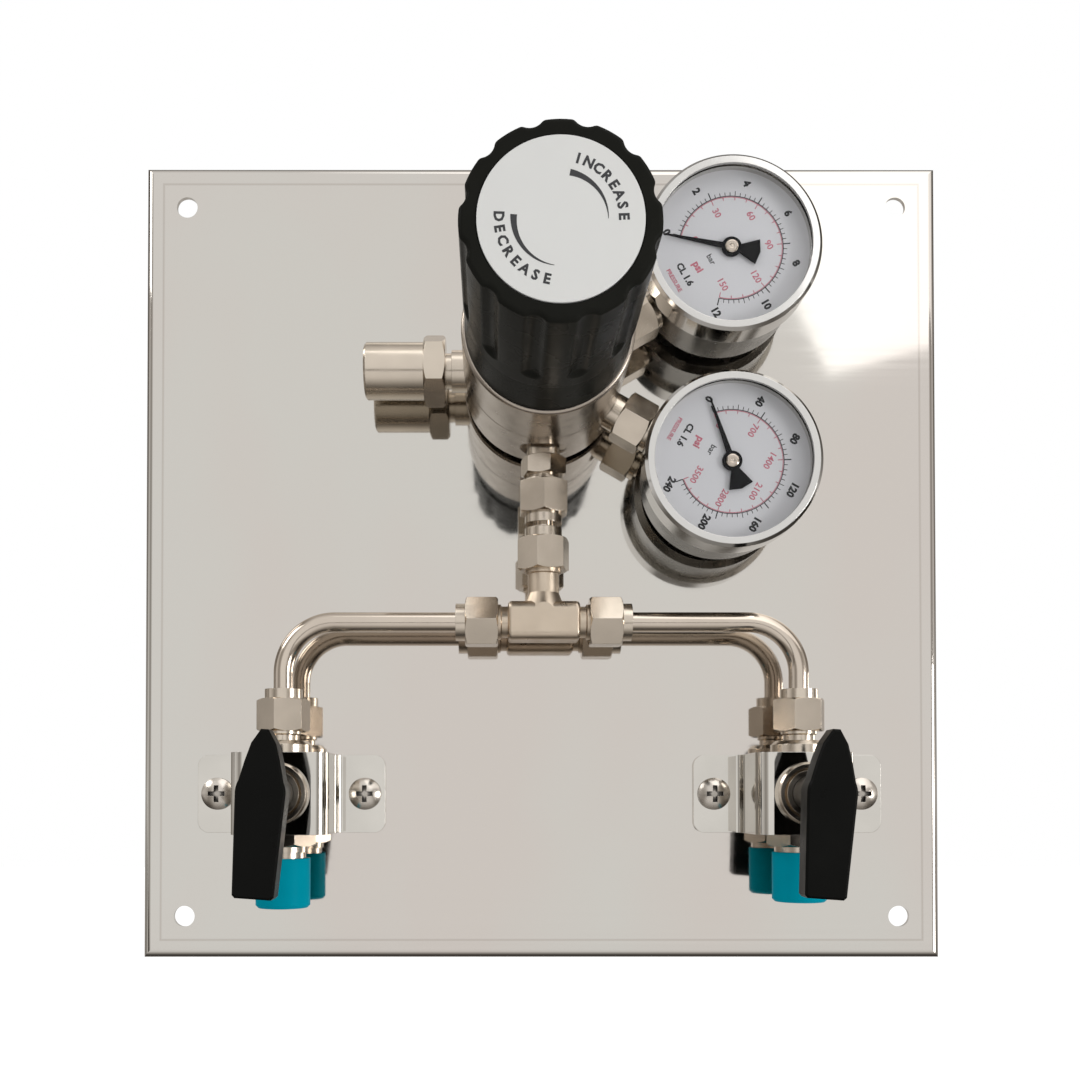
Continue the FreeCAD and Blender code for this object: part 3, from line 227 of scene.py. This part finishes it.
def make_materials():
    """Every material, by its slot's name, and those of the pieces in other_finish."""
    nickel = (0.65, 0.57, 0.475)
    return {
        "polished_panel": panel_metal(),
        "polished_bracket": metal("polished_bracket", (0.63, 0.60, 0.55), 0.05, 700, (1, 1, 0.05),
                                  0.001 * MM),
        "regulator_metal": metal("regulator_metal", (0.47, 0.41, 0.35), 0.22, 60, (1, 60, 1), 0.006 * MM,
                                 edge=0.45 * MM),
        "nickel_fitting": metal("nickel_fitting", nickel, 0.19, 900, (1, 1, 1), 0.004 * MM, 0.84),
        "satin_fitting": metal("satin_fitting", (0.68, 0.57, 0.45), 0.34, 700, (1, 1, 1), 0.02 * MM, 0.8),
        "tube_steel": metal("tube_steel", (0.63, 0.55, 0.465), 0.13, 500, (1, 1, 1), 0.002 * MM, 0.9),
        # The screws get painted shade in their cross recesses and where their heads meet the bracket
        "screw_steel": metal("screw_steel", (0.62, 0.57, 0.51), 0.24, 900, (1, 1, 1), 0.003 * MM,
                             recess_shade=1.8 * MM),
        "spring_steel": metal("spring_steel", (0.42, 0.42, 0.42), 0.25, 600, (1, 1, 1), 0.004 * MM),
        "gauge_steel": metal("gauge_steel", (0.66, 0.645, 0.62), 0.10, 60, (1, 50, 1), 0.003 * MM, 0.94),
        # The gauge case's steel is about half as bright as the bezel's: painted shade for the dark
        # surroundings its sides reflect
        "gauge_case": metal("gauge_case", (0.34, 0.33, 0.31), 0.24, 60, (1, 50, 1), 0.006 * MM, 0.8),
        "gauge_window": glass(),
        "dial_white": plastic("dial_white", (0.81, 0.81, 0.835), 0.5, 0.001 * MM, 1.3, 1.03),
        "pointer_black": plastic("pointer_black", (0.010, 0.010, 0.011), 0.5, 0.002 * MM, 1.2),
        "brass": metal("brass", (0.62, 0.44, 0.18), 0.22, 60, (1, 50, 1), 0.004 * MM),
        "sintered_bronze": metal("sintered_bronze", (0.36, 0.23, 0.12), 0.5, 3000, (1, 1, 1), 0.06 * MM),
        "white_polymer": plastic("white_polymer", (0.78, 0.78, 0.75), 0.4, 0.002 * MM, 1.4, 1.03),
        "black_plastic": plastic("black_plastic", (0.0035, 0.0035, 0.003), 0.32, 0.004 * MM, 1.15, 1.7),
        "knob_plastic": plastic("knob_plastic", (0.0125, 0.0125, 0.0105), 0.26, 0.003 * MM, 1.08, 1.3),
        "label_white": plastic("label_white", (0.765, 0.76, 0.735), 0.45, 0.001 * MM, 1.3, 1.03),
        "teal_plastic": plastic("teal_plastic", (0.0, 0.265, 0.355), 0.3, 0.003 * MM, 1.05, 1.15),
    }


materials = make_materials()
ink_black = printed("ink_black", (0.02, 0.02, 0.022))
ink_red = printed("ink_red", (0.52, 0.16, 0.21))

# Pieces that differ from the rest of their slot: the gauge cases are rougher than their bezels and darker, a
# painted shade, the tee is rougher than its nuts, and the knob has less gloss than the handles
other_finish = {
    "upper_gauge_case": "gauge_case",
    "lower_gauge_case": "gauge_case",
    "union_tee": "satin_fitting",
    "adjusting_knob": "knob_plastic",
}

for subpart in frame["record"]["subparts"]:
    node = frame["nodes"][subpart["node"]]
    node.data.materials.clear()
    node.data.materials.append(materials[other_finish.get(subpart["node"], subpart["material_slot"])])


# Prints on the knob and the dials

def face_frame(middle):
    """Frame of a face that looks at -Y: local X and Y lie in the face, and local Z stands out of it."""
    facing = Matrix(((1, 0, 0), (0, 0, -1), (0, 1, 0))).to_4x4()
    return Matrix.Translation(middle) @ facing


class Print:
    """Flat shapes of one ink, gathered in one thin mesh."""

    def __init__(self, name, ink, place):
        self.name = name
        self.ink = ink
        self.place = place
        self.vertices = []
        self.faces = []

    def slab(self, outline):
        """A thin closed slab over an outline, given anticlockwise."""
        first = len(self.vertices)
        count = len(outline)
        for height in (-print_sunk, print_proud):
            self.vertices += [(x, y, height) for x, y in outline]
        bottom = list(range(first, first + count))
        top = list(range(first + count, first + 2 * count))
        self.faces.append(bottom[::-1])
        self.faces.append(top)
        for i in range(count):
            j = (i + 1) % count
            self.faces.append([bottom[i], bottom[j], top[j], top[i]])

    def bar(self, angle, start, end, width):
        """A radial tick."""
        along = Vector((math.cos(angle), math.sin(angle)))
        side = Vector((-along.y, along.x)) * width / 2
        self.slab([tuple(along * start - side), tuple(along * end - side),
                   tuple(along * end + side), tuple(along * start + side)])

    def arc(self, radius, start, end, width_start, width_end, steps):
        """A strip along an arc, split in short slabs, whose width changes evenly."""
        for i in range(steps):
            parts = (i / steps, (i + 1) / steps)
            turns = [start + (end - start) * part for part in parts]
            halves = [(width_start + (width_end - width_start) * part) / 2 for part in parts]
            corners = [(radius - halves[0], turns[0]), (radius + halves[0], turns[0]),
                       (radius + halves[1], turns[1]), (radius - halves[1], turns[1])]
            outline = [(r * math.cos(a), r * math.sin(a)) for r, a in corners]
            self.slab(outline if end > start else outline[::-1])

    def text(self, words, size, x, y, turn, weight=0.0):
        """Words centred on a point and turned, as a solid of the built-in typeface."""
        curve = bpy.data.curves.new("words", "FONT")
        curve.body = words
        curve.size = size
        curve.offset = weight
        curve.resolution_u = 2
        curve.align_x = "CENTER"
        curve.align_y = "CENTER"
        curve.extrude = (print_proud + print_sunk) / 2
        holder = bpy.data.objects.new("words", curve)
        bpy.context.scene.collection.objects.link(holder)
        bpy.context.view_layer.update()
        mesh = bpy.data.meshes.new_from_object(holder.evaluated_get(bpy.context.evaluated_depsgraph_get()))
        lift = (print_proud - print_sunk) / 2
        move = Matrix.Translation((x, y, lift)) @ Matrix.Rotation(turn, 4, "Z")
        first = len(self.vertices)
        self.vertices += [tuple(move @ vertex.co) for vertex in mesh.vertices]
        self.faces += [[first + i for i in face.vertices] for face in mesh.polygons]
        bpy.data.meshes.remove(mesh)
        bpy.data.objects.remove(holder)
        bpy.data.curves.remove(curve)

    def finish(self, body, slot):
        """Makes the piece and lets it ride on its body."""
        mesh = bpy.data.meshes.new(self.name)
        mesh.from_pydata(self.vertices, [], self.faces)
        mesh.materials.append(self.ink)
        piece = bpy.data.objects.new(self.name, mesh)
        bpy.context.scene.collection.objects.link(piece)
        piece.matrix_world = self.place
        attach(piece, body)
        return piece


def polar(radius, degrees):
    """A point in the plane of a face."""
    turn = math.radians(degrees)
    return radius * math.cos(turn), radius * math.sin(turn)


def knob_print():
    """The two curved words with their tapered strokes."""
    sheet = Print("knob_print", ink_black, face_frame((disc_middle.x, disc_front, disc_middle.z)))
    letter_radius = disc_radius * 0.74
    stroke_radius = disc_radius * 0.56
    letter_size = 3.2 * MM
    for word, start, end, outward in (("INCREASE", 74, 2, True), ("DECREASE", 178, 257, False)):
        step = (end - start) / (len(word) - 1)
        for i, letter in enumerate(word):
            degrees = start + step * i
            turn = degrees - 90 if outward else degrees + 90
            x, y = polar(letter_radius, degrees)
            sheet.text(letter, letter_size, x, y, math.radians(turn), 0.13 * MM)
    for start, end in ((79, 0), (175, 262)):
        sheet.arc(stroke_radius, math.radians(start), math.radians(end), 1.5 * MM, 0.12 * MM, 40)
    sheet.finish("knob", "pointer_black")


def dial_prints(name, stem_angle, zero, outer_numbers, inner_numbers):
    """Both scales of a gauge: black outside the ring, red inside it, and the words between their ends."""
    low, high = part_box(name + "_gauge_dial")
    middle = (low + high) / 2
    place = face_frame((middle.x, low.y, middle.z))
    black = Print(name + "_black_scale", ink_black, place)
    red = Print(name + "_red_scale", ink_red, place)
    sweep = 270
    ring_radius = 15.2 * MM
    number_radius = 19.4 * MM
    inner_radius = 11.0 * MM
    marks = 50
    for i in range(marks + 1):
        degrees = zero - sweep * i / marks
        major = i % 10 == 0
        medium = i % 5 == 0
        reach = 2.1 * MM if major else 1.5 * MM if medium else 1.1 * MM
        width = 0.32 * MM if major else 0.2 * MM
        black.bar(math.radians(degrees), ring_radius, ring_radius + reach, width)
    inner_marks = 4 * (len(inner_numbers) - 1)
    for i in range(inner_marks + 1):
        degrees = zero - sweep * i / inner_marks
        reach = 1.5 * MM if i % 4 == 0 else 0.9 * MM
        red.bar(math.radians(degrees), ring_radius - 0.3 * MM - reach, ring_radius - 0.3 * MM, 0.24 * MM)
    black.arc(ring_radius, math.radians(zero), math.radians(zero - sweep), 0.24 * MM, 0.24 * MM, 90)
    red.arc(ring_radius - 0.3 * MM, math.radians(zero), math.radians(zero - sweep), 0.22 * MM, 0.22 * MM, 90)
    upright = math.radians(stem_angle + 90)
    for numbers, radius, sheet, size, weight in ((outer_numbers, number_radius, black, 3.0 * MM, 0.16 * MM),
                                                 (inner_numbers, inner_radius, red, 2.7 * MM, 0.05 * MM)):
        for i, number in enumerate(numbers):
            x, y = polar(radius, zero - sweep * i / (len(numbers) - 1))
            sheet.text(number, size, x, y, upright, weight)
    for words, radius, sheet, size, weight in (("bar", 6.8, black, 2.4, 0.03), ("psi", 11.2, red, 3.0, 0.12),
                                               ("CL 1.6", 15.6, black, 2.7, 0.12),
                                               ("PRESSURE", 19.2, red, 1.7, 0.05)):
        x, y = polar(radius * MM, stem_angle)
        sheet.text(words, size * MM, x, y, upright, weight * MM)
    black.finish("panel", "pointer_black")
    red.finish("panel", "pointer_black")


def pointer_cap(name):
    """Bright turned end of the spindle, in the middle of a gauge's pointer."""
    pointer_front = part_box(name + "_gauge_pointer")[0].y
    dial_low, dial_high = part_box(name + "_gauge_dial")
    middle = (dial_low + dial_high) / 2
    # Radius and height of each ring, from the middle of the cap outwards
    profile = ((0.0, 0.22), (0.45, 0.18), (0.75, 0.30), (1.5, 0.30), (1.9, 0.12), (1.9, -0.05))
    sides = 48
    vertices = [(0.0, 0.0, profile[0][1] * MM)]
    for radius, height in profile[1:]:
        vertices += [(*polar(radius * MM, 360 * i / sides), height * MM) for i in range(sides)]
    faces = [[0, 1 + i, 1 + (i + 1) % sides] for i in range(sides)]
    for ring in range(len(profile) - 2):
        first = 1 + ring * sides
        for i in range(sides):
            j = (i + 1) % sides
            faces.append([first + i, first + sides + i, first + sides + j, first + j])
    faces.append([1 + (len(profile) - 2) * sides + i for i in range(sides)][::-1])
    mesh = bpy.data.meshes.new(name + "_pointer_cap")
    mesh.from_pydata(vertices, [], faces)
    mesh.materials.append(materials["tube_steel"])
    piece = bpy.data.objects.new(name + "_pointer_cap", mesh)
    bpy.context.scene.collection.objects.link(piece)
    piece.matrix_world = face_frame((middle.x, pointer_front, middle.z))
    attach(piece, name + "_pointer")


knob_print()
dial_prints("upper", 210, 166.5, ["0", "2", "4", "6", "8", "10", "12"], ["0", "30", "60", "90", "120", "150"])
dial_prints("lower", 150, 110.0, ["0", "40", "80", "120", "160", "200", "240"],
            ["0", "700", "1400", "2100", "2800", "3500"])
for name in ("upper", "lower"):
    pointer_cap(name)


# Studio: floor, world, lamps and camera

# The studio that gloss shows: a white front and top, a dark gap above a pale table in front, and darker
# flanks. Each stop of the round is an angle about the X axis, in degrees, from the back over the table to the
# front at 0 and over the top to the back. Each stop of the flanks is how far a direction leans aside, 0 to 1.
studio_round = ((-180, 0.75), (-150, 0.5), (-118, 0.06), (-88, 0.08), (-68, 0.36), (-42, 0.85), (-16.5, 0.95),
                (-14.5, 0.18), (-11.2, 0.18), (-9.6, 1.0), (60, 1.0), (90, 0.7), (120, 0.15), (150, 0.45),
                (180, 0.75))
studio_flanks = ((0.0, 1.0), (0.40, 1.0), (0.58, 0.5), (0.76, 0.34), (0.88, 0.6), (1.0, 0.8))
studio_warmth = (1.0, 0.92, 0.83)


def join(tree, operation, first, second=0.0):
    """A Math node on two values, either of which may be a plain number."""
    node = tree.nodes.new("ShaderNodeMath")
    node.operation = operation
    for socket, value in zip(node.inputs, (first, second)):
        if isinstance(value, bpy.types.NodeSocket):
            tree.links.new(value, socket)
        else:
            socket.default_value = value
    return node.outputs[0]


def stepped(tree, value, low, high, stops):
    """A brightness by stops, between which it changes evenly. Dark stops are warmer than white ones."""
    ramp = tree.nodes.new("ShaderNodeValToRGB")
    elements = ramp.color_ramp.elements
    while len(elements) < len(stops):
        elements.new(0.5)
    for element, (place, level) in zip(elements, stops):
        element.position = (place - low) / (high - low)
        element.color = (*(level * (tint + (1 - tint) * level) for tint in studio_warmth), 1)
    tree.links.new(value, ramp.inputs["Fac"])
    return ramp.outputs["Color"]


def studio_color(tree, direction):
    """The studio's colour in a direction."""
    unit = tree.nodes.new("ShaderNodeVectorMath")
    unit.operation = "NORMALIZE"
    tree.links.new(direction, unit.inputs[0])
    split = tree.nodes.new("ShaderNodeSeparateXYZ")
    tree.links.new(unit.outputs["Vector"], split.inputs["Vector"])
    forward = join(tree, "MULTIPLY", split.outputs["Y"], -1.0)
    turn = join(tree, "ARCTAN2", split.outputs["Z"], forward)
    share = join(tree, "ADD", join(tree, "DIVIDE", turn, 2 * math.pi), 0.5)
    around = stepped(tree, share, -180, 180, studio_round)
    flanks = stepped(tree, join(tree, "ABSOLUTE", split.outputs["X"]), 0, 1, studio_flanks)
    both = tree.nodes.new("ShaderNodeMix")
    both.data_type = "RGBA"
    both.blend_type = "MULTIPLY"
    both.inputs[0].default_value = 1.0
    sockets = [socket for socket in both.inputs if socket.type == "RGBA"]
    tree.links.new(around, sockets[0])
    tree.links.new(flanks, sockets[1])
    return [socket for socket in both.outputs if socket.type == "RGBA"][0]


def gloss_ray(tree):
    """1 for rays that a gloss or a glass sends out."""
    path = tree.nodes.new("ShaderNodeLightPath")
    return join(tree, "MAXIMUM", path.outputs["Is Glossy Ray"], path.outputs["Is Transmission Ray"])


def camera_ray(tree):
    """1 for rays from the camera."""
    return tree.nodes.new("ShaderNodeLightPath").outputs["Is Camera Ray"]


def make_floor():
    """Plain white floor, well below the panel: it keeps the object's shadow, and gloss sees the studio."""
    size = 12.0
    height = -0.8
    mesh = bpy.data.meshes.new("floor")
    corners = [(-size, -size, height), (size, -size, height), (size, size, height), (-size, size, height)]
    mesh.from_pydata(corners, [], [[0, 1, 2, 3]])
    floor = bpy.data.objects.new("floor", mesh)
    bpy.context.scene.collection.objects.link(floor)
    finish = Finish("floor_white", (0.86, 0.86, 0.86), 0.0, 0.9)
    finish.put(finish.shader, "Emission Color", (1, 1, 1, 1))
    glow = join(finish.tree, "MULTIPLY", camera_ray(finish.tree), 0.62)
    finish.put(finish.shader, "Emission Strength", glow)
    reflected = finish.add("ShaderNodeEmission")
    finish.put(reflected, "Color", studio_color(finish.tree, finish.place))
    mix = finish.add("ShaderNodeMixShader")
    finish.put(mix, "Fac", gloss_ray(finish.tree))
    finish.put(mix, 1, finish.shader.outputs["BSDF"])
    finish.put(mix, 2, reflected.outputs["Emission"])
    finish.put(finish.tree.nodes["Material Output"], "Surface", mix.outputs["Shader"])
    mesh.materials.append(finish.material)


def make_world():
    """White behind the object, the studio in its gloss, and an even light on it."""
    world = bpy.data.worlds.new("studio")
    world.use_nodes = True
    bpy.context.scene.world = world
    tree = world.node_tree
    even = tree.nodes["Background"]
    even.inputs["Color"].default_value = (1, 1, 1, 1)
    strength = tree.nodes.new("ShaderNodeMapRange")
    tree.links.new(camera_ray(tree), strength.inputs["Value"])
    strength.inputs["To Min"].default_value = 0.55
    strength.inputs["To Max"].default_value = 1.0
    tree.links.new(strength.outputs["Result"], even.inputs["Strength"])
    reflected = tree.nodes.new("ShaderNodeBackground")
    tree.links.new(studio_color(tree, tree.nodes.new("ShaderNodeTexCoord").outputs["Generated"]),
                   reflected.inputs["Color"])
    mix = tree.nodes.new("ShaderNodeMixShader")
    tree.links.new(gloss_ray(tree), mix.inputs["Fac"])
    tree.links.new(even.outputs["Background"], mix.inputs[1])
    tree.links.new(reflected.outputs["Background"], mix.inputs[2])
    tree.links.new(mix.outputs["Shader"], tree.nodes["World Output"].inputs["Surface"])


def add_lamp(name, place, aim, size, watts):
    """Square area lamp that points at a place."""
    lamp = bpy.data.lights.new(name, "AREA")
    lamp.size = size
    lamp.energy = watts
    holder = bpy.data.objects.new(name, lamp)
    holder.location = place
    holder.rotation_euler = (Vector(aim) - Vector(place)).to_track_quat("-Z", "Y").to_euler()
    bpy.context.scene.collection.objects.link(holder)


def add_camera():
    """Camera a little left of the middle and low in front of the panel, which it sees nearly square on."""
    data = bpy.data.cameras.new("camera")
    data.sensor_width = 36.0
    data.lens = 39.516
    data.shift_x = 0.0417
    data.shift_y = 0.22
    camera = bpy.data.objects.new("camera", data)
    camera.location = (-14.88 * MM, -372.3 * MM, -74.8 * MM)
    camera.rotation_euler = (math.radians(90 + 0.965), 0, math.radians(-0.042))
    bpy.context.scene.collection.objects.link(camera)
    bpy.context.scene.camera = camera


make_floor()
make_world()
add_lamp("key", (0.85, -0.85, 1.45), (0, 0, 0), 2.0, 12.0)
add_lamp("side", (1.0, -0.6, -0.12), (0, 0, 0), 0.4, 4.0)
add_lamp("rim", (-0.95, -0.35, 0.7), (0, 0, 0), 0.45, 3.0)
add_camera()
bpy.context.scene.view_settings.view_transform = "Standard"
